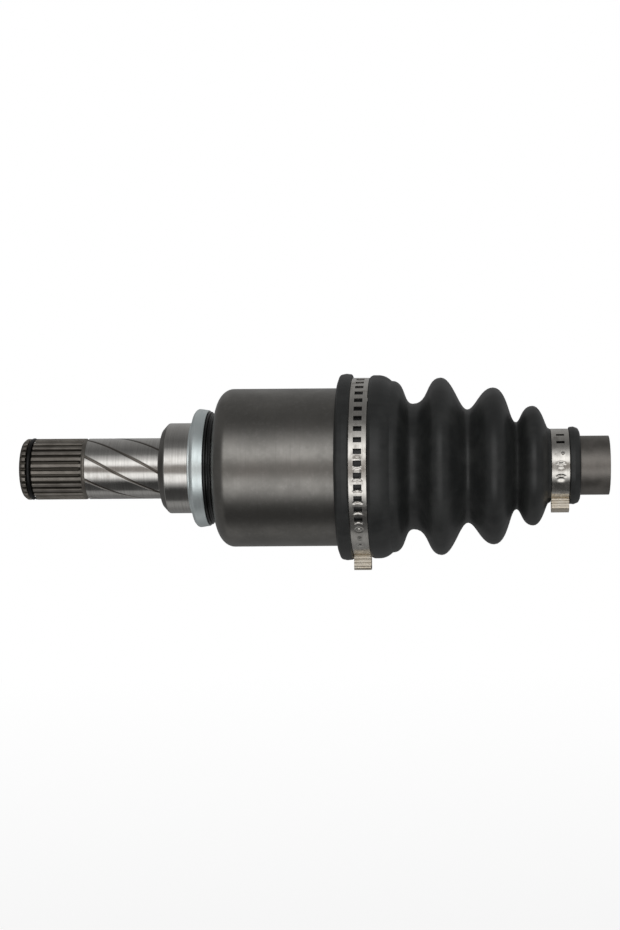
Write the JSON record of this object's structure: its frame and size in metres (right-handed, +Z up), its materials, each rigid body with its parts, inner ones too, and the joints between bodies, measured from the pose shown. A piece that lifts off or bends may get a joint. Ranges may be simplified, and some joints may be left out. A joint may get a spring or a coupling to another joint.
{
  "type": "cv axle inner joint",
  "caption": "Inboard half of a front-wheel-drive CV axle: splined stub, plunging tripod joint in a round housing, rubber bellows boot with band clamps, and the start of the axle bar.",
  "frame": {"origin": "centre of the splined stub's inboard end face", "axes": "+X along the axle from the gearbox towards the wheel, +Z up, the large clamp's ear straight down"},
  "size_m": [0.2589, 0.0828, 0.0868],
  "materials": {
    "housing_steel": "satin",
    "bar_steel": "satin",
    "ground_steel": "polished",
    "spring_steel": "satin",
    "stainless": "satin",
    "zinc_plate": "satin",
    "boot_rubber": "matte",
    "seal_rubber": "gloss",
    "cup_nylon": "satin"
  },
  "bodies": {
    "housing": {"tripod_housing": "housing_steel", "stub_clip": "spring_steel", "dust_shield": "zinc_plate", "dust_seal": "seal_rubber", "mouth_ring": "spring_steel", "boot": "boot_rubber", "large_boot_clamp": "stainless", "thrust_spring": "spring_steel"},
    "thrust_cup": {"thrust_cup": "cup_nylon"},
    "needle_set_1": {"needle_set_1": "ground_steel"},
    "shaft": {"axle_bar": "bar_steel", "spider": "ground_steel", "spider_clip": "spring_steel", "spider_stop_ring": "spring_steel", "small_boot_clamp": "stainless", "needle_set_2": "ground_steel", "needle_set_3": "ground_steel", "needle_washer_1": "ground_steel", "needle_washer_2": "ground_steel", "needle_washer_3": "ground_steel", "trunnion_clip_1": "spring_steel", "trunnion_clip_2": "spring_steel", "trunnion_clip_3": "spring_steel"},
    "roller_1": {"roller_1": "ground_steel"},
    "roller_2": {"roller_2": "ground_steel"},
    "roller_3": {"roller_3": "ground_steel"}
  },
  "joints": [
    {"name": "plunge", "type": "slide", "parent": "housing", "child": "thrust_cup", "axis": [1, 0, 0], "range_m": [-0.012, 0.01], "stiffness_N_per_m": 3000, "deforming": ["thrust_spring", "boot"]},
    {"name": "articulation", "type": "hinge", "parent": "thrust_cup", "child": "needle_set_1", "pos_m": [0.128, 0, 0], "axis": [0, 1, 0], "range_deg": [-12, 12], "stiffness_Nm_per_rad": 20, "deforming": ["boot"]},
    {"name": "swivel", "type": "hinge", "parent": "needle_set_1", "child": "shaft", "pos_m": [0.128, 0, 0], "axis": [0, 0, 1], "range_deg": [-12, 12], "stiffness_Nm_per_rad": 20, "deforming": ["boot"]},
    {"name": "roller_1_spin", "type": "hinge", "parent": "needle_set_1", "child": "roller_1", "pos_m": [0.128, 0, 0.0205], "axis": [0, 0, 1], "continuous": true},
    {"name": "roller_2_spin", "type": "hinge", "parent": "shaft", "child": "roller_2", "pos_m": [0.128, -0.01775, -0.01025], "axis": [0, -0.866, -0.5], "continuous": true},
    {"name": "roller_3_spin", "type": "hinge", "parent": "shaft", "child": "roller_3", "pos_m": [0.128, 0.01775, -0.01025], "axis": [0, 0.866, -0.5], "continuous": true}
  ]
}
